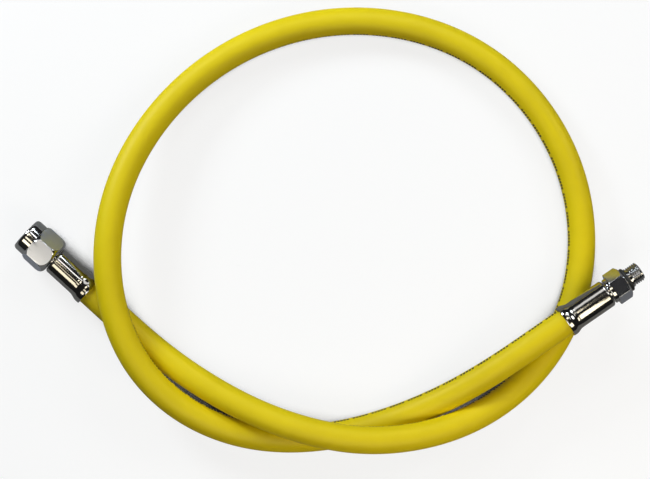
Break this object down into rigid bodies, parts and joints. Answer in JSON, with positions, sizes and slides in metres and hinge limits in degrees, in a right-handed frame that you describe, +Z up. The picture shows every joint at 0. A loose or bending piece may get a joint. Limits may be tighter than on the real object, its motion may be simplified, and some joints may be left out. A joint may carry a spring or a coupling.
{
  "type": "regulator medium pressure hose",
  "caption": "Flexible rubber hose for a breathing regulator, coiled flat, with a captive swivel nut on one crimped end and a fixed hexagon, seal and male thread on the other.",
  "frame": {"origin": "centre of the box round the two end fittings, on the table that the coil lies on", "axes": "+X along the female fitting from its nut towards the hose, +Y across it towards the male fitting, +Z up from the table"},
  "size_m": [0.2299, 0.2332, 0.0288],
  "materials": {
    "hose_rubber": "smooth yellow cover with a soft sheen",
    "ferrule_chrome": "bright chrome plate on crimped brass",
    "stem_chrome": "bright chrome plate on turned brass",
    "nut_chrome": "bright chrome plate on turned brass",
    "seal_rubber": "matte black"
  },
  "bodies": {
    "hose_assembly": {"hose": "hose_rubber", "female_ferrule": "ferrule_chrome", "female_stem": "stem_chrome", "female_stem_o_ring": "seal_rubber", "male_ferrule": "ferrule_chrome", "male_stem": "stem_chrome", "male_stem_o_ring": "seal_rubber"},
    "nut": {"swivel_nut": "nut_chrome"}
  },
  "joints": [
    {"name": "nut_swivel", "type": "hinge", "parent": "hose_assembly", "child": "nut", "pos_m": [-0.10538, -0.0874, 0.0097], "axis": [-0.9979, 0, 0.0646], "continuous": true}
  ]
}
